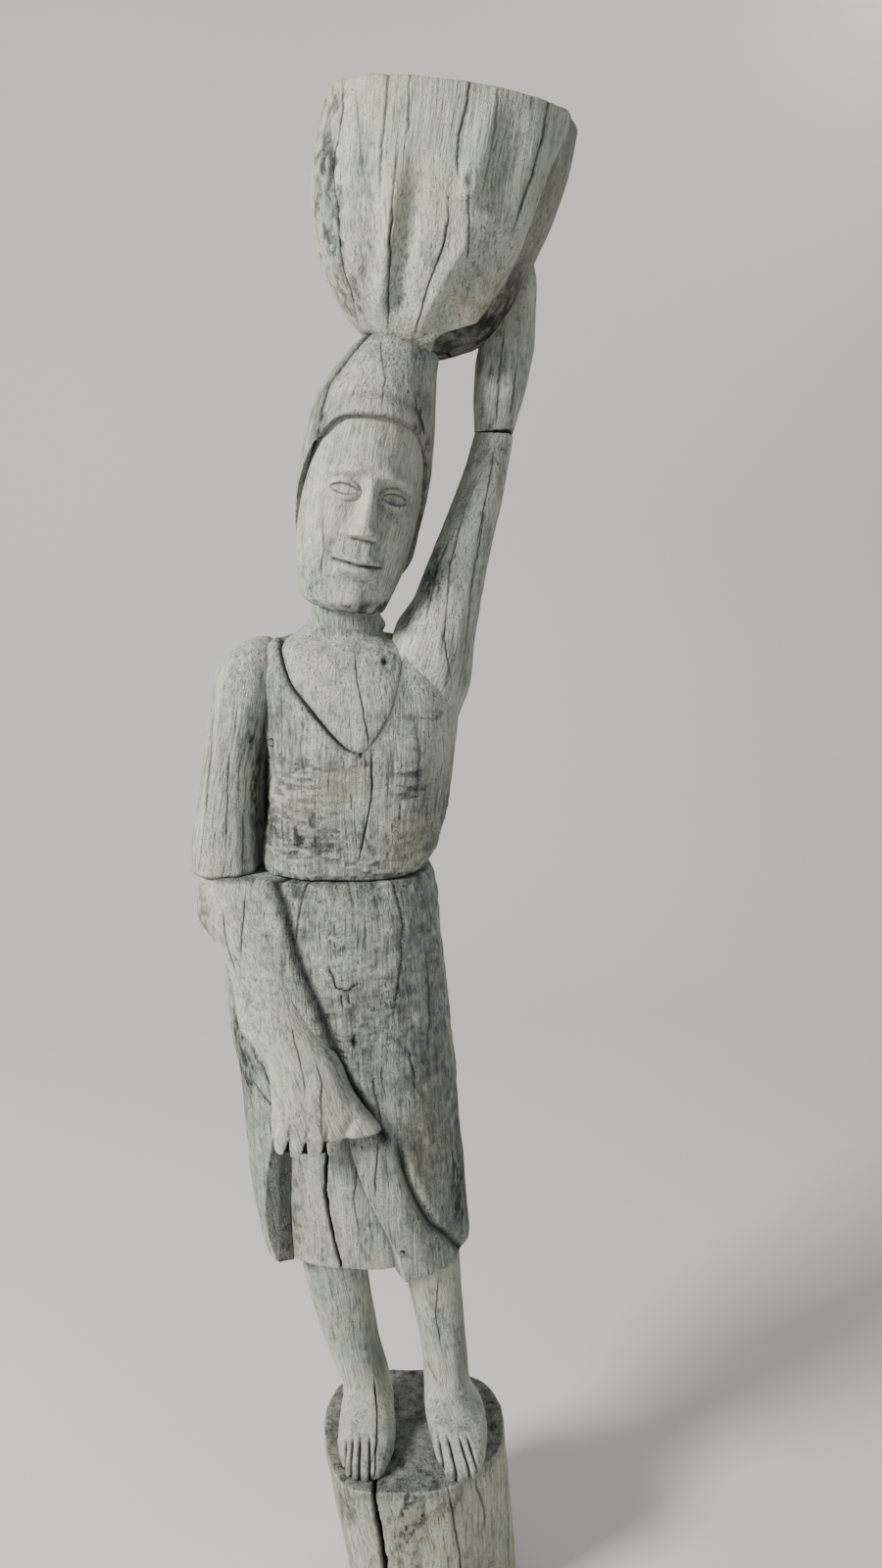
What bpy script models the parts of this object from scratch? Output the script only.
"""Carved wooden woman who stands on a stump and steadies a tub on her head with one raised arm.

The figure is built from carved blocks that stack on a leaning log axis. Each block is a loft of
rounded sections. Round spigots, carved on the end of one block, seat in sockets of the next one.
+Z is up, the face looks along -Y, and the origin is the middle of the stump's flat underside.
"""

import math
from collections import namedtuple

import bmesh
import bpy
from mathutils import Matrix, Vector

MM = 0.001

# Stack heights, from the floor up.
STUMP_HEIGHT = 150 * MM
LEG_LENGTH = 170 * MM
SKIRT_LENGTH = 308 * MM
TORSO_LENGTH = 172 * MM
NECK_LENGTH = 18 * MM
HEAD_LENGTH = 184 * MM
TUB_HEIGHT = 146 * MM

# Full widths (side to side) and depths (front to back) of the blocks.
STUMP_WIDTH, STUMP_DEPTH = 150 * MM, 142 * MM
ANKLE_WIDTH, CALF_WIDTH = 37 * MM, 48 * MM
FOOT_WIDTH, FOOT_LENGTH, FOOT_HEIGHT = 46 * MM, 96 * MM, 16 * MM
HEM_WIDTH, HEM_DEPTH = 164 * MM, 128 * MM
HIP_WIDTH, HIP_DEPTH = 164 * MM, 134 * MM
WAIST_WIDTH, WAIST_DEPTH = 122 * MM, 100 * MM
CHEST_WIDTH, CHEST_DEPTH = 136 * MM, 114 * MM
NECK_WIDTH, NECK_DEPTH = 50 * MM, 56 * MM
HEAD_WIDTH, HEAD_DEPTH = 86 * MM, 120 * MM
SLEEVE_WIDTH, SLEEVE_DEPTH = 51 * MM, 64 * MM
FOREARM_WIDTH, WRIST_WIDTH, PALM_WIDTH = 65 * MM, 49 * MM, 52 * MM
RAISED_CUFF_WIDTH, RAISED_ARM_WIDTH = 27 * MM, 39 * MM
TUB_WIDTH, TUB_DEPTH, TUB_FOOT_WIDTH = 168 * MM, 148 * MM, 60 * MM

# Walls, leans and small features.
TUB_WALL, TUB_FLOOR = 15 * MM, 34 * MM
WRAPPER_WALL = 12 * MM
SCARF_WALL = 4.5 * MM
NECKLINE_STEP = 2.5 * MM
HEAD_LEAN, RIM_LEAN, LOWERED_ARM_LEAN = 12.0, 7.5, -23.0
CUFF_SLIT = 1.6 * MM
TOE_SLIT, FINGER_NOTCH = 2.0 * MM, 7.0 * MM
STUMP_CRACK_WIDTH, STUMP_CRACK_DEPTH = 7 * MM, 42 * MM
CHEST_PEG_RADIUS, SKIRT_PEG_RADIUS, NAIL_RADIUS = 3.0 * MM, 2.2 * MM, 1.3 * MM
CHEST_PEG_LENGTH, SKIRT_PEG_LENGTH, NAIL_LENGTH = 24 * MM, 7 * MM, 16 * MM

# Fits.
GAP = 0.3 * MM
LEG_SPIGOT_RADIUS, LEG_SPIGOT_LENGTH = 10 * MM, 26 * MM
BODY_SPIGOT_RADIUS, BODY_SPIGOT_LENGTH = 20 * MM, 34 * MM
ARM_SPIGOT_RADIUS, ARM_SPIGOT_LENGTH = 7 * MM, 16 * MM
ROOT = 6 * MM  # how far a spigot starts inside its own block

# Levels that follow from the stack.
STUMP_TOP = STUMP_HEIGHT
HEM = STUMP_TOP + LEG_LENGTH
WAIST = HEM + SKIRT_LENGTH
SHOULDER = WAIST + TORSO_LENGTH
CHIN = SHOULDER + NECK_LENGTH

# Where the leaning log's middle is, side to side, at those levels. -X is the figure's right.
STUMP_TOP_X, HEM_X, HIP_X, WAIST_X, CHEST_X, NECK_X = (v * MM for v in (-17, -54, -74, -66, -54, -62))
STUMP_TOP_Y = -9 * MM
RIGHT_LEG_X, LEFT_LEG_X = HEM_X - 27 * MM, HEM_X + 51 * MM
RIGHT_FOOT_X, LEFT_FOOT_X = STUMP_TOP_X - 38 * MM, STUMP_TOP_X + 33 * MM

SIDES = 28
SIDE = Vector((1, 0, 0))
FRONT = Vector((0, -1, 0))
UP = Vector((0, 0, 1))

GREY_WOOD = ("weathered_wood", (0.42, 0.43, 0.38, 1), 0.85)
PALE_WOOD = ("pale_wood", (0.50, 0.49, 0.40, 1), 0.85)
DARK_WOOD = ("stained_wood", (0.26, 0.28, 0.27, 1), 0.9)
PEG_WOOD = ("peg_wood", (0.34, 0.33, 0.29, 1), 0.8)
IRON = ("rusted_iron", (0.10, 0.07, 0.05, 1), 0.8)

Section = namedtuple("Section", "x y z width depth lean square")


def section(x, y, z, width, depth, lean=0.0, square=2.2):
    """One cross-section: its middle, full width and depth, sideways lean in degrees and squareness."""
    return Section(x, y, z, width, depth, lean, square)


def ring(cut, grow):
    """The corners of a section, a superellipse whose plane leans sideways, grown outwards all round."""
    tip = math.radians(cut.lean)
    corners = []
    for i in range(SIDES):
        angle = 2 * math.pi * i / SIDES
        cos, sin = math.cos(angle), math.sin(angle)
        across = (cut.width / 2 + grow) * math.copysign(abs(cos) ** (2 / cut.square), cos)
        along = (cut.depth / 2 + grow) * math.copysign(abs(sin) ** (2 / cut.square), sin)
        corners.append(
            Vector((cut.x + across * math.cos(tip), cut.y + along, cut.z - across * math.sin(tip)))
        )
    return corners


def smoothed(sections, steps):
    """Sections on a Catmull-Rom curve through the given ones, with this many steps between two."""
    ends = [sections[0], *sections, sections[-1]]
    found = []
    for a, b, c, d in zip(ends, ends[1:], ends[2:], ends[3:], strict=False):
        for step in range(steps):
            t = step / steps
            found.append(
                Section(
                    *(
                        q + t * (r - p) / 2 + t * t * (p - 2.5 * q + 2 * r - 0.5 * s)
                        + t**3 * (-p + 3 * q - 3 * r + s) / 2
                        for p, q, r, s in zip(a, b, c, d, strict=True)
                    )
                )
            )
    return [*found, sections[-1]]


def wood(finish):
    """The Blender material for a finish: a name, a colour and a roughness."""
    name, colour, roughness = finish
    made = bpy.data.materials.get(name)
    if made is None:
        made = bpy.data.materials.new(name)
        made.use_nodes = True
        shader = made.node_tree.nodes["Principled BSDF"]
        shader.inputs["Base Color"].default_value = colour
        shader.inputs["Roughness"].default_value = roughness
        shader.inputs["Metallic"].default_value = 1.0 if finish is IRON else 0.0
        made.diffuse_color = colour
    return made


def object_of(name, mesh, finish):
    """A named object for a mesh. With no finish it is a cutter, which no render shows."""
    made = bpy.data.objects.new(name, mesh)
    bpy.context.scene.collection.objects.link(made)
    if finish is None:
        made.hide_render = True
        made.display_type = "WIRE"
    else:
        mesh.materials.append(wood(finish))
        mesh.shade_smooth()
        mesh.set_sharp_from_angle(angle=math.radians(50))
    return made


def loft(name, sections, finish=None, grow=0.0, steps=3):
    """A closed block skinned over its sections, bottom first, and grown all round by this much."""
    mesh = bpy.data.meshes.new(name)
    shape = bmesh.new()
    loops = []
    cuts = smoothed(sections, steps)
    cuts[0] = cuts[0]._replace(z=cuts[0].z - grow)
    cuts[-1] = cuts[-1]._replace(z=cuts[-1].z + grow)
    for cut in cuts:
        corners = [shape.verts.new(corner) for corner in ring(cut, grow)]
        loops.append([shape.edges.new((corners[i - 1], corners[i])) for i in range(SIDES)])
    for lower, upper in zip(loops, loops[1:], strict=False):
        bmesh.ops.bridge_loops(shape, edges=lower + upper)
    for end in (loops[0], loops[-1]):
        bmesh.ops.contextual_create(shape, geom=end)
    bmesh.ops.recalc_face_normals(shape, faces=shape.faces)
    shape.to_mesh(mesh)
    shape.free()
    return object_of(name, mesh, finish)


def prism(name, outline, low, high, finish=None):
    """A straight prism: an outline of (x, z) corners carried along Y from low to high."""
    mesh = bpy.data.meshes.new(name)
    shape = bmesh.new()
    face = shape.faces.new([shape.verts.new((x, low, z)) for x, z in outline])
    moved = bmesh.ops.extrude_face_region(shape, geom=[face])["geom"]
    bmesh.ops.translate(
        shape, vec=(0, high - low, 0), verts=[v for v in moved if isinstance(v, bmesh.types.BMVert)]
    )
    bmesh.ops.recalc_face_normals(shape, faces=shape.faces)
    shape.to_mesh(mesh)
    shape.free()
    return object_of(name, mesh, finish)


def slot(name, mouth, depth, point, direction, low, high):
    """An upright wedge cutter: its mouth is this wide at point, and its edge lies depth along direction."""
    across = direction.cross(UP).normalized()
    back = point - direction * 4 * depth / 10
    mesh = bpy.data.meshes.new(name)
    shape = bmesh.new()
    corners = [back + across * 0.7 * mouth, back - across * 0.7 * mouth, point + direction * depth]
    face = shape.faces.new([shape.verts.new((c.x, c.y, low)) for c in corners])
    moved = bmesh.ops.extrude_face_region(shape, geom=[face])["geom"]
    bmesh.ops.translate(
        shape, vec=(0, 0, high - low), verts=[v for v in moved if isinstance(v, bmesh.types.BMVert)]
    )
    bmesh.ops.recalc_face_normals(shape, faces=shape.faces)
    shape.to_mesh(mesh)
    shape.free()
    return object_of(name, mesh, None)


def rod(name, start, end, radius, finish=None, sides=16):
    """A round rod between two points."""
    mesh = bpy.data.meshes.new(name)
    shape = bmesh.new()
    axis = end - start
    turn = axis.to_track_quat("Z", "Y").to_matrix().to_4x4()
    bmesh.ops.create_cone(
        shape, cap_ends=True, segments=sides, radius1=radius, radius2=radius, depth=axis.length,
        matrix=Matrix.Translation((start + end) / 2) @ turn,
    )
    shape.to_mesh(mesh)
    shape.free()
    return object_of(name, mesh, finish)


def combine(block, other, operation):
    """Adds a Boolean to a block: DIFFERENCE, UNION or INTERSECT."""
    step = block.modifiers.new(f"{operation.title()} {other.name}", "BOOLEAN")
    step.operation = operation
    step.object = other
    step.solver = "EXACT"


def spigot(owner, host, start, direction, radius, length):
    """A round spigot on the owner, from its face at start into a socket of the host."""
    label = f"{owner.name}_spigot_in_{host.name}"
    inside = start - direction * ROOT
    combine(owner, rod(label, inside, start + direction * length, radius), "UNION")
    socket = rod(f"{label}_socket", inside, start + direction * (length + GAP), radius + GAP)
    combine(host, socket, "DIFFERENCE")


def leaning(distance, offset=0.0):
    """The point on the head's leaning axis at this distance above the chin, and offset beside it."""
    tip = math.radians(HEAD_LEAN)
    side = distance * math.sin(tip) + offset * math.cos(tip)
    return Vector((NECK_X + side, 0, CHIN + distance * math.cos(tip) - offset * math.sin(tip)))


def stump_sections():
    """A short post, squarish in plan, that leans with the log."""
    shape = ((0.0, 0.95), (0.5, 0.97), (1.0, 1.0))
    return [
        section(
            share * STUMP_TOP_X, share * STUMP_TOP_Y, share * STUMP_TOP,
            STUMP_WIDTH * size, STUMP_DEPTH * size, square=2.7,
        )
        for share, size in shape
    ]


def skirt_sections(start=0.0):
    """The wrapped skirt from hem to waist. start cuts off that share of its length at the bottom."""
    shape = (
        (0.0, HEM_X, HEM_WIDTH, HEM_DEPTH),
        (0.06, HEM_X - 3 * MM, HEM_WIDTH + 4 * MM, HEM_DEPTH + 2 * MM),
        (0.42, (HEM_X + HIP_X) / 2, HIP_WIDTH, HIP_DEPTH - 2 * MM),
        (0.72, HIP_X, HIP_WIDTH, HIP_DEPTH),
        (0.90, HIP_X, HIP_WIDTH - 6 * MM, HIP_DEPTH - 6 * MM),
        (1.0, (HIP_X + WAIST_X) / 2, WAIST_WIDTH + 18 * MM, WAIST_DEPTH + 10 * MM),
    )
    return [
        section(x, 2 * MM, HEM + share * SKIRT_LENGTH, width, depth, square=2.4)
        for share, x, width, depth in shape if share >= start
    ]


def torso_sections():
    """The bloused torso from waist to shoulders."""
    shape = (
        (0.0, WAIST_X, WAIST_WIDTH, WAIST_DEPTH),
        (0.10, WAIST_X + 5 * MM, WAIST_WIDTH + 6 * MM, WAIST_DEPTH + 6 * MM),
        (0.40, CHEST_X, CHEST_WIDTH, CHEST_DEPTH),
        (0.72, CHEST_X - 2 * MM, CHEST_WIDTH + 4 * MM, CHEST_DEPTH),
        (0.90, CHEST_X - 9 * MM, CHEST_WIDTH + 2 * MM, CHEST_DEPTH - 22 * MM),
        (1.0, NECK_X - 6 * MM, CHEST_WIDTH - 36 * MM, CHEST_DEPTH - 48 * MM),
    )
    return [
        section(x, 2 * MM, WAIST + GAP + share * (TORSO_LENGTH - GAP), width, depth, square=2.5)
        for share, x, width, depth in shape
    ]


def neck_sections():
    """The neck, from inside the chest up to the chin's underside."""
    return [
        section(NECK_X - 6 * MM, 6 * MM, SHOULDER - 40 * MM, NECK_WIDTH + 34 * MM, NECK_DEPTH + 16 * MM),
        section(NECK_X - 5 * MM, 5 * MM, SHOULDER - 6 * MM, NECK_WIDTH + 36 * MM, NECK_DEPTH + 8 * MM),
        section(NECK_X - 2 * MM, 4 * MM, SHOULDER + 5 * MM, NECK_WIDTH + 6 * MM, NECK_DEPTH),
        section(NECK_X, 4 * MM, CHIN + 2 * MM, NECK_WIDTH, NECK_DEPTH, lean=HEAD_LEAN),
    ]


def head_sections(width, depth, shape):
    """Sections on the leaning axis. shape lists (share of the height, width and depth shares, y)."""
    found = []
    for share, across, along, y in shape:
        middle = leaning(share * HEAD_LENGTH)
        found.append(
            section(middle.x, y, middle.z, width * across, depth * along, lean=HEAD_LEAN, square=2.15)
        )
    return found


def skull_sections():
    """The egg of the head, flat under the chin."""
    shape = (
        (0.0, 0.50, 0.46, -14 * MM),
        (0.08, 0.70, 0.70, -8 * MM),
        (0.26, 0.88, 0.92, -2 * MM),
        (0.46, 0.98, 1.0, 0.0),
        (0.66, 0.98, 0.98, 1 * MM),
        (0.82, 0.82, 0.82, 2 * MM),
        (0.91, 0.52, 0.56, 3 * MM),
    )
    return head_sections(HEAD_WIDTH, HEAD_DEPTH, shape)


def scarf_sections():
    """The outside of the head cloth, from the nape to the flat top that carries the tub."""
    shape = (
        (0.20, 0.84, 0.88, 0.0),
        (0.46, 0.99, 1.0, 1 * MM),
        (0.66, 0.99, 0.98, 2 * MM),
        (0.82, 0.87, 0.86, 3 * MM),
        (0.93, 0.73, 0.70, 3 * MM),
        (1.0, 0.60, 0.56, 3 * MM),
    )
    return head_sections(HEAD_WIDTH + 2 * SCARF_WALL, HEAD_DEPTH + 2 * SCARF_WALL, shape)


def tub_sections(inset=0.0, floor=0.0, over=0.0):
    """The tub's outside, or with an inset its hollow, from floor height to over the rim."""
    shape = (
        (0.0, TUB_FOOT_WIDTH, 3 * MM),
        (0.08, TUB_WIDTH * 0.58, 7 * MM),
        (0.20, TUB_WIDTH * 0.77, 8 * MM),
        (0.40, TUB_WIDTH * 0.90, 8 * MM),
        (0.68, TUB_WIDTH * 0.98, 8 * MM),
        (1.0, TUB_WIDTH, 8 * MM),
    )
    found = []
    for share, width, offset in shape:
        height = floor + share * (TUB_HEIGHT + over - floor)
        middle = leaning(HEAD_LENGTH + GAP + height, offset)
        lean = HEAD_LEAN + share * (RIM_LEAN - HEAD_LEAN)
        depth = width * TUB_DEPTH / TUB_WIDTH
        found.append(section(middle.x, 3 * MM, middle.z, width - 2 * inset, depth - 2 * inset, lean, 2.3))
    return found


def leg_sections(foot_x, leg_x, sole):
    """A foot and its leg as one stack: the long sole, the instep that slopes up, the ankle, the calf."""
    rise = HEM - GAP - sole
    heel_y = 26 * MM
    shape = (
        (sole, foot_x, FOOT_WIDTH, FOOT_LENGTH, 2.6),
        (sole + FOOT_HEIGHT * 0.6, foot_x, FOOT_WIDTH, FOOT_LENGTH, 2.6),
        (sole + FOOT_HEIGHT * 1.1, foot_x, FOOT_WIDTH * 0.94, FOOT_LENGTH * 0.84, 2.4),
        (sole + FOOT_HEIGHT * 1.8, foot_x, ANKLE_WIDTH * 1.05, FOOT_LENGTH * 0.56, 2.2),
        (sole + FOOT_HEIGHT * 2.6, foot_x, ANKLE_WIDTH, FOOT_LENGTH * 0.42, 2.1),
        (sole + rise * 0.45, foot_x + (leg_x - foot_x) * 0.32, ANKLE_WIDTH * 1.04, ANKLE_WIDTH * 1.2, 2.1),
        (sole + rise * 0.75, foot_x + (leg_x - foot_x) * 0.72, CALF_WIDTH * 0.94, CALF_WIDTH, 2.1),
        (sole + rise, leg_x, CALF_WIDTH, CALF_WIDTH * 1.02, 2.1),
    )
    return [
        section(x, heel_y - length / 2, z, width, length, square=square)
        for z, x, width, length, square in shape
    ]


def lowered_sleeve_sections():
    """The right upper arm: a hanging sleeve that widens to its hem."""
    out = CHEST_X - CHEST_WIDTH / 2
    return [
        section(out - 34 * MM, -4 * MM, WAIST - 2 * MM, SLEEVE_WIDTH + 3 * MM, SLEEVE_DEPTH, -4),
        section(out - 28 * MM, -2 * MM, WAIST + 36 * MM, SLEEVE_WIDTH, SLEEVE_DEPTH, -5),
        section(out - 22 * MM, 0, WAIST + 80 * MM, SLEEVE_WIDTH - 3 * MM, SLEEVE_DEPTH, -6),
        section(out - 15 * MM, 2 * MM, SHOULDER - 50 * MM, SLEEVE_WIDTH - 3 * MM, SLEEVE_DEPTH, -8),
        section(out - 8 * MM, 2 * MM, SHOULDER - 26 * MM, SLEEVE_WIDTH - 5 * MM, SLEEVE_DEPTH - 4 * MM, -14),
        section(out + 4 * MM, 2 * MM, SHOULDER - 8 * MM, SLEEVE_WIDTH - 20 * MM, SLEEVE_DEPTH - 20 * MM, -24),
    ]


def hand_front():
    """How far forward the lowered hand's middle lies, just proud of the skirt."""
    return 2 * MM - HIP_DEPTH / 2 - 8 * MM


def lowered_forearm_sections():
    """The right forearm: from the sleeve's hem across the skirt to the finger ends."""
    top = lowered_sleeve_sections()[0]
    hand_x = HIP_X - 16 * MM
    front = hand_front()
    start, reach = WAIST - 2 * MM - GAP, 190 * MM
    shape = (
        (1.00, hand_x + 1 * MM, front - 3 * MM, PALM_WIDTH - 6 * MM, 15 * MM, -4),
        (0.88, hand_x + 2 * MM, front - 2 * MM, PALM_WIDTH, 24 * MM, -14),
        (0.72, hand_x - 3 * MM, front + 2 * MM, WRIST_WIDTH + 3 * MM, 32 * MM, LOWERED_ARM_LEAN),
        (0.52, hand_x - 17 * MM, front + 12 * MM, WRIST_WIDTH + 6 * MM, 40 * MM, LOWERED_ARM_LEAN),
        (0.32, hand_x - 31 * MM, front + 26 * MM, FOREARM_WIDTH - 6 * MM, 50 * MM, LOWERED_ARM_LEAN),
        (0.12, top.x + 15 * MM, front + 44 * MM, FOREARM_WIDTH, 56 * MM, LOWERED_ARM_LEAN / 2),
        (0.0, top.x + 14 * MM, front + 50 * MM, FOREARM_WIDTH - 2 * MM, 56 * MM, -4),
    )
    return [
        section(x, y, start - share * reach, width, depth, lean, 2.3)
        for share, x, y, width, depth, lean in shape
    ]


def thumb_sections():
    """The lowered hand's thumb, which points across the skirt. It is lofted from its root to its tip."""
    hand = lowered_forearm_sections()[1]
    root, tip = hand.x + 2 * MM, hand.x + 49 * MM
    return [
        section(root, hand.y, hand.z + 14 * MM, 42 * MM, 22 * MM, 74),
        section((root + tip) / 2, hand.y, hand.z + 3 * MM, 28 * MM, 19 * MM, 78),
        section(tip, hand.y + 2 * MM, hand.z - 7 * MM, 9 * MM, 15 * MM, 82),
    ]


def raised_sleeve_sections():
    """The left upper arm: a sleeve that rises from the shoulder and narrows to its cuff."""
    out = CHEST_X + CHEST_WIDTH / 2
    grow = RAISED_ARM_WIDTH
    return [
        section(out - 19 * MM, 4 * MM, SHOULDER - 56 * MM, grow + 6 * MM, 76 * MM, 8),
        section(out - 12 * MM, 4 * MM, SHOULDER - 24 * MM, grow + 14 * MM, 72 * MM, 12),
        section(out - 5 * MM, 7 * MM, SHOULDER + 18 * MM, grow + 8 * MM, 50 * MM, 16),
        section(out + 6 * MM, 9 * MM, SHOULDER + 58 * MM, grow, 40 * MM, 17),
        section(out + 19 * MM, 11 * MM, SHOULDER + 100 * MM, RAISED_CUFF_WIDTH + 5 * MM, 34 * MM, 16),
        section(out + 29 * MM, 13 * MM, SHOULDER + 136 * MM, RAISED_CUFF_WIDTH, 31 * MM, 10),
    ]


def raised_forearm_sections():
    """The left forearm and hand: up from the cuff slit, and flat along the tub's far side."""
    cuff = raised_sleeve_sections()[-1]
    start = cuff.z + CUFF_SLIT
    side = leaning(HEAD_LENGTH).x + 70 * MM
    return [
        section(cuff.x, cuff.y, start, RAISED_CUFF_WIDTH + 1 * MM, 31 * MM, 10),
        section(cuff.x + 4 * MM, cuff.y + 3 * MM, start + 27 * MM, RAISED_ARM_WIDTH - 4 * MM, 36 * MM, 6),
        section(side + 1 * MM, cuff.y + 8 * MM, start + 55 * MM, RAISED_ARM_WIDTH + 2 * MM, 38 * MM, 2),
        section(side + 7 * MM, cuff.y + 16 * MM, start + 88 * MM, RAISED_ARM_WIDTH, 42 * MM, 0),
        section(side + 8 * MM, cuff.y + 24 * MM, start + 112 * MM, RAISED_ARM_WIDTH - 4 * MM, 44 * MM, 0),
        section(side + 9 * MM, cuff.y + 28 * MM, start + 136 * MM, RAISED_ARM_WIDTH - 8 * MM, 38 * MM, 4),
    ]


def make_stump():
    """The stump with its deep drying crack. The crack stops well short of the middle."""
    stump = loft("stump_base", stump_sections(), DARK_WOOD, steps=2)
    mouth = Vector((STUMP_TOP_X - 26 * MM, 2 * MM - STUMP_DEPTH / 2 + 6 * MM, 0))
    inward = Vector((0.35, 1, 0)).normalized()
    crack = slot(
        "stump_crack", STUMP_CRACK_WIDTH, STUMP_CRACK_DEPTH, mouth, inward,
        -10 * MM, STUMP_HEIGHT + 10 * MM,
    )
    combine(stump, crack, "DIFFERENCE")
    return stump


def make_leg(name, foot_x, leg_x, stump, skirt):
    """One foot and leg with four toe slits, a spigot under the sole and one into the skirt."""
    sole = STUMP_TOP + GAP
    sections = leg_sections(foot_x, leg_x, sole)
    leg = loft(name, sections, GREY_WOOD, steps=2)
    toe_line = sections[0].y - FOOT_LENGTH / 2
    for toe in range(1, 5):
        x = foot_x + FOOT_WIDTH * (toe / 5 - 0.5)
        slit = slot(
            f"{name}_toe_slit_{toe}", TOE_SLIT, 24 * MM, Vector((x, toe_line, 0)), -FRONT,
            sole - 2 * MM, sole + 2 * FOOT_HEIGHT,
        )
        combine(leg, slit, "DIFFERENCE")
    ankle_y = sections[4].y
    spigot(leg, stump, Vector((foot_x, ankle_y, sole)), -UP, LEG_SPIGOT_RADIUS, LEG_SPIGOT_LENGTH)
    top = sections[-1]
    spigot(leg, skirt, Vector((leg_x, top.y, top.z)), UP, LEG_SPIGOT_RADIUS, LEG_SPIGOT_LENGTH)
    return leg


def fold_sections():
    """The band of cloth that the hand pulls up: from the hem towards the hand, bottom first."""
    surface = 2 * MM - HEM_DEPTH / 2
    return [
        section(HEM_X + 53 * MM, surface + 8 * MM, HEM + 1 * MM, 46 * MM, 22 * MM, 6),
        section(HEM_X + 45 * MM, surface + 4 * MM, HEM + 32 * MM, 42 * MM, 20 * MM, 0),
        section(HEM_X + 30 * MM, surface + 1 * MM, HEM + 72 * MM, 36 * MM, 18 * MM, -12),
        section(HEM_X + 10 * MM, surface - 1 * MM, HEM + 128 * MM, 34 * MM, 14 * MM, -16),
    ]


def make_skirt():
    """The outer wrapper, open below the hand, and the underskirt that fills it."""
    wrapper = loft("skirt_wrapper", skirt_sections(), GREY_WOOD)
    combine(wrapper, loft("fold", fold_sections()), "UNION")
    core_height = HEM + 0.55 * SKIRT_LENGTH
    core = [cut for cut in smoothed(skirt_sections(), 4) if cut.z < core_height]
    below = core[0]._replace(z=HEM - 2 * WRAPPER_WALL)
    hollow = loft("wrapper_hollow", [below, *core], grow=GAP - WRAPPER_WALL, steps=1)
    combine(wrapper, hollow, "DIFFERENCE")
    left, right = HEM_X - 60 * MM, HEM_X + 27 * MM
    top = HEM + 126 * MM
    corners = [(left, HEM - 4 * MM), (right, HEM - 4 * MM), (right - 34 * MM, top), (left, top)]
    combine(wrapper, prism("wrapper_opening", corners, -HEM_DEPTH, -HEM_DEPTH / 4), "DIFFERENCE")
    core[0] = core[0]._replace(z=HEM - WRAPPER_WALL)
    underskirt = loft("underskirt", core, PALE_WOOD, grow=-WRAPPER_WALL, steps=1)
    return wrapper, underskirt


def make_torso(wrapper):
    """The blouse with its V neckline, and the neck and bare chest let into it."""
    torso = loft("blouse_torso", torso_sections(), GREY_WOOD)
    low = SHOULDER - 74 * MM
    right, left, point = NECK_X - 48 * MM, NECK_X + 36 * MM, NECK_X + 8 * MM
    top = SHOULDER + 20 * MM
    outline = [
        (point, low), (left - 8 * MM, low + 26 * MM), (left, top),
        (right, top), (right + 24 * MM, low + 34 * MM),
    ]
    pocket = prism("neckline_pocket", outline, -CHEST_DEPTH, 16 * MM)
    combine(torso, pocket, "DIFFERENCE")
    neck = loft("neck_and_chest", neck_sections(), GREY_WOOD)
    middle_x = sum(x for x, _ in outline) / len(outline)
    middle_z = sum(z for _, z in outline) / len(outline)
    shrink = 1 - GAP / (30 * MM)
    inner = [(middle_x + (x - middle_x) * shrink, middle_z + (z - middle_z) * shrink) for x, z in outline]
    plate = loft("chest_plate", torso_sections(), grow=-NECKLINE_STEP)
    combine(plate, prism("neckline_plate", inner, -CHEST_DEPTH, 16 * MM - GAP), "INTERSECT")
    combine(neck, plate, "UNION")
    chin_room = SHOULDER + 60 * MM
    outer = [inner[0], inner[1], (inner[2][0], chin_room), (inner[3][0], chin_room), inner[4]]
    bound = prism("neck_bound", outer, -CHEST_DEPTH, 16 * MM - GAP)
    combine(neck, bound, "INTERSECT")
    waist = torso_sections()[0]
    spigot(torso, wrapper, Vector((waist.x, waist.y, waist.z)), -UP, BODY_SPIGOT_RADIUS, BODY_SPIGOT_LENGTH)
    return torso, neck


def make_head(neck):
    """The head and the cloth wound over it, cut off along a plane that falls to the nape."""
    head = loft("head", skull_sections(), GREY_WOOD)
    scarf = loft("headscarf", scarf_sections(), GREY_WOOD)
    combine(scarf, loft("skull_hollow", skull_sections(), grow=GAP), "DIFFERENCE")
    brow, nape = 0.72 * HEAD_LENGTH, 0.14 * HEAD_LENGTH
    fall = math.atan2(brow - nape, HEAD_DEPTH)
    reach = 3 * HEAD_LENGTH
    place = (
        Matrix.Translation(leaning((brow + nape) / 2))
        @ Matrix.Rotation(math.radians(HEAD_LEAN), 4, "Y")
        @ Matrix.Rotation(-fall, 4, "X")
        @ Matrix.Translation((0, 0, -reach / 2))
    )
    edge = bpy.data.meshes.new("scarf_edge")
    shape = bmesh.new()
    bmesh.ops.create_cube(shape, size=reach, matrix=place)
    shape.to_mesh(edge)
    shape.free()
    combine(scarf, object_of("scarf_edge", edge, None), "DIFFERENCE")
    axis = (leaning(HEAD_LENGTH) - leaning(0)).normalized()
    crown = leaning(skull_height())
    spigot(head, scarf, crown, axis, BODY_SPIGOT_RADIUS / 2, 8 * MM)
    combine(neck, loft("chin_room", skull_sections(), grow=GAP), "DIFFERENCE")
    middle = Vector((leaning(0).x, 4 * MM, leaning(0).z))
    spigot(head, neck, middle, -axis, LEG_SPIGOT_RADIUS, LEG_SPIGOT_LENGTH / 2)
    return head, scarf


def skull_height():
    """How far above the chin the bare skull ends."""
    return 0.91 * HEAD_LENGTH


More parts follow.
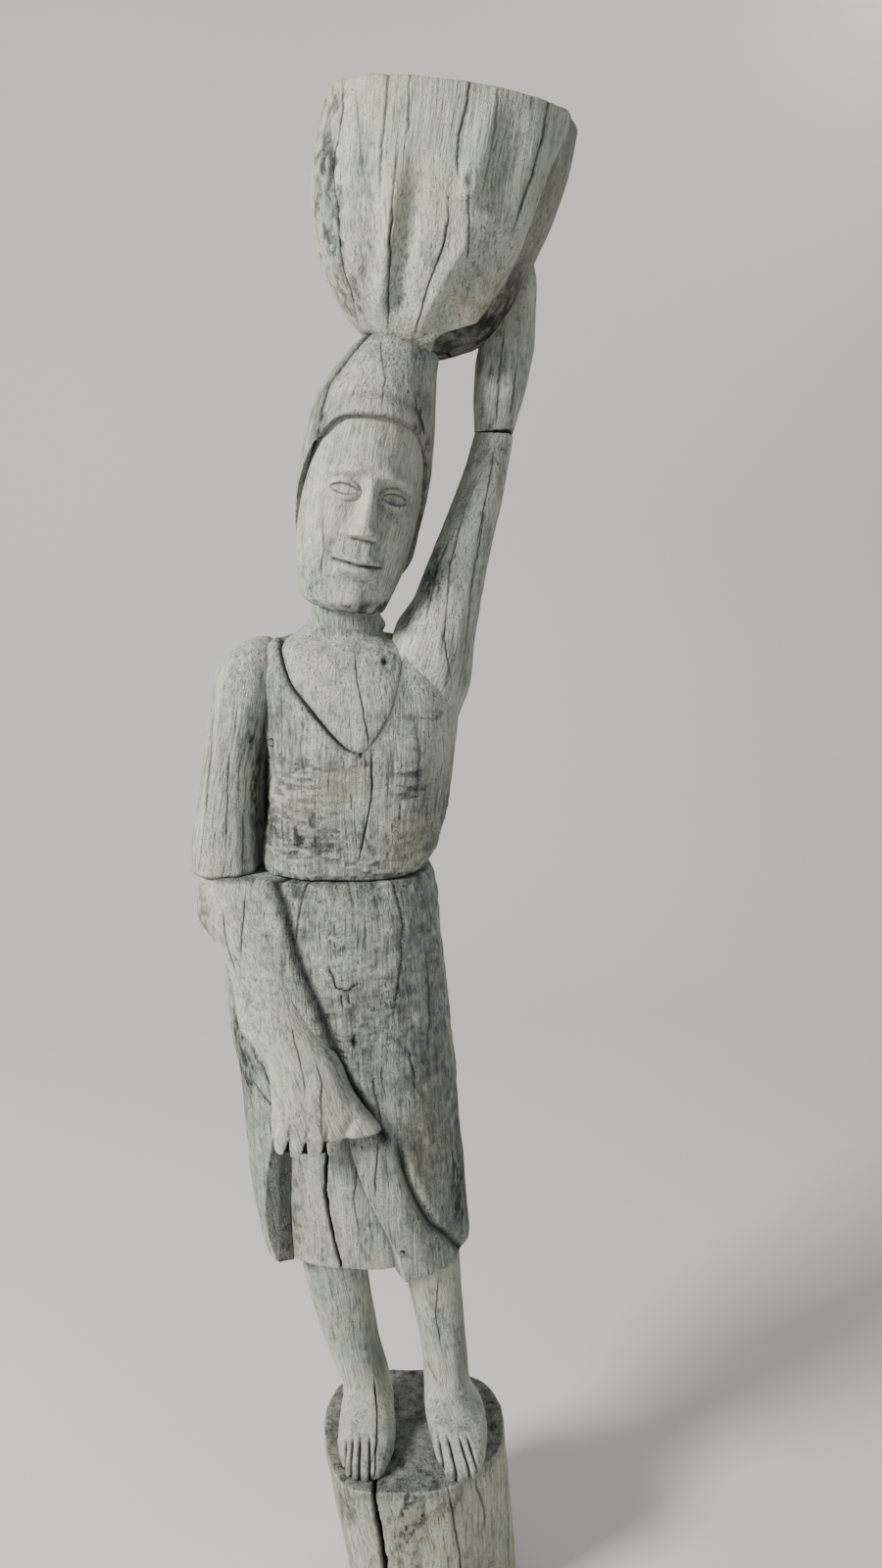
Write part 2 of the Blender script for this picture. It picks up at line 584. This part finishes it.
def make_tub(scarf):
    """The tub: a hollowed block on a foot that seats on the head cloth's flat top."""
    tub = loft("head_tub", tub_sections(), GREY_WOOD)
    hollow = loft("tub_hollow", tub_sections(TUB_WALL, TUB_FLOOR, 12 * MM))
    combine(tub, hollow, "DIFFERENCE")
    axis = (leaning(HEAD_LENGTH) - leaning(0)).normalized()
    top = leaning(HEAD_LENGTH)
    seat = Vector((top.x, 3 * MM, top.z))
    spigot(scarf, tub, seat, axis, BODY_SPIGOT_RADIUS / 2, 14 * MM)
    return tub


def make_lowered_arm(torso, wrapper):
    """The right arm: a sleeve cut to the torso, and a forearm and hand cut to the skirt."""
    body = loft("torso_room", torso_sections(), grow=GAP)
    skirt = loft("skirt_room", skirt_sections(), grow=GAP)
    sleeve = loft("right_sleeve", lowered_sleeve_sections(), GREY_WOOD)
    combine(sleeve, body, "DIFFERENCE")
    combine(sleeve, skirt, "DIFFERENCE")
    sections = lowered_forearm_sections()
    forearm = loft("right_forearm_hand", sections, PALE_WOOD)
    combine(forearm, loft("thumb", thumb_sections()), "UNION")
    fingers = sections[0]
    for notch in (-1, 0, 1):
        x = fingers.x + notch * fingers.width / 4
        half = FINGER_NOTCH / 2
        tip, low = fingers.z + 2.4 * FINGER_NOTCH, fingers.z - FINGER_NOTCH
        corners = [(x - 1.4 * half, low), (x + 1.4 * half, low), (x, tip)]
        cutter = prism(f"finger_notch_{notch + 2}", corners, fingers.y - 30 * MM, fingers.y + 30 * MM)
        combine(forearm, cutter, "DIFFERENCE")
    combine(forearm, body, "DIFFERENCE")
    combine(forearm, skirt, "DIFFERENCE")
    combine(forearm, loft("fold_room", fold_sections(), grow=GAP), "DIFFERENCE")
    hem = lowered_sleeve_sections()[0]
    combine(forearm, loft("sleeve_room", lowered_sleeve_sections(), grow=GAP), "DIFFERENCE")
    elbow_end = Vector((hem.x + 2 * MM, hem.y, hem.z - 2 * GAP))
    spigot(forearm, sleeve, elbow_end, UP, ARM_SPIGOT_RADIUS, ARM_SPIGOT_LENGTH)
    shoulder = Vector((CHEST_X - CHEST_WIDTH / 2 - 2 * MM, 2 * MM, SHOULDER - 40 * MM))
    spigot(sleeve, torso, shoulder, SIDE, ARM_SPIGOT_RADIUS, ARM_SPIGOT_LENGTH)
    return sleeve, forearm


def make_raised_arm(torso):
    """The left arm: a sleeve housed in the torso's shoulder, and a forearm whose hand is cut to the tub."""
    sleeve = loft("left_sleeve", raised_sleeve_sections(), GREY_WOOD)
    combine(torso, loft("shoulder_housing", raised_sleeve_sections(), grow=GAP), "DIFFERENCE")
    combine(sleeve, loft("neck_room", neck_sections(), grow=GAP), "DIFFERENCE")
    sections = raised_forearm_sections()
    forearm = loft("left_forearm_hand", sections, PALE_WOOD)
    combine(forearm, loft("tub_room", tub_sections(), grow=GAP), "DIFFERENCE")
    cuff = raised_sleeve_sections()[-1]
    up = Vector((math.sin(math.radians(10)), 0, math.cos(math.radians(10))))
    start = Vector((cuff.x, cuff.y, cuff.z + CUFF_SLIT))
    spigot(forearm, sleeve, start, -up, ARM_SPIGOT_RADIUS, ARM_SPIGOT_LENGTH)
    return sleeve, forearm


def make_pin(name, host, head, direction, radius, length, finish):
    """A peg or nail, with its head at this point, in a hole that it leaves in its host."""
    rod(name, head, head + direction * length, radius, finish, sides=12)
    mouth, end = head - direction * 10 * MM, head + direction * (length + GAP)
    hole = rod(f"{name}_hole", mouth, end, radius + GAP, sides=12)
    combine(host, hole, "DIFFERENCE")


def main():
    """Clears the scene and builds every block."""
    for old in list(bpy.data.objects):
        bpy.data.objects.remove(old, do_unlink=True)
    stump = make_stump()
    wrapper, underskirt = make_skirt()
    make_leg("right_leg", RIGHT_FOOT_X, RIGHT_LEG_X, stump, underskirt)
    make_leg("left_leg", LEFT_FOOT_X, LEFT_LEG_X, stump, underskirt)
    torso, neck = make_torso(wrapper)
    _, scarf = make_head(neck)
    tub = make_tub(scarf)
    make_lowered_arm(torso, wrapper)
    make_raised_arm(torso)
    chest = Vector((CHEST_X - 60 * MM, -37 * MM, SHOULDER - 74 * MM))
    make_pin("chest_peg", torso, chest, -FRONT, CHEST_PEG_RADIUS, CHEST_PEG_LENGTH, PEG_WOOD)
    fold = Vector((HEM_X + 31 * MM, -60 * MM, HEM + 26 * MM))
    make_pin("skirt_peg", wrapper, fold, -FRONT, SKIRT_PEG_RADIUS, SKIRT_PEG_LENGTH, PEG_WOOD)
    seat = leaning(HEAD_LENGTH + 6 * MM, 34 * MM)
    nail_axis = (leaning(HEAD_LENGTH) - leaning(0)).normalized()
    nail = Vector((seat.x, -8 * MM, seat.z)) - nail_axis * 5 * MM
    make_pin("tub_nail", tub, nail, nail_axis, NAIL_RADIUS, NAIL_LENGTH, IRON)


main()
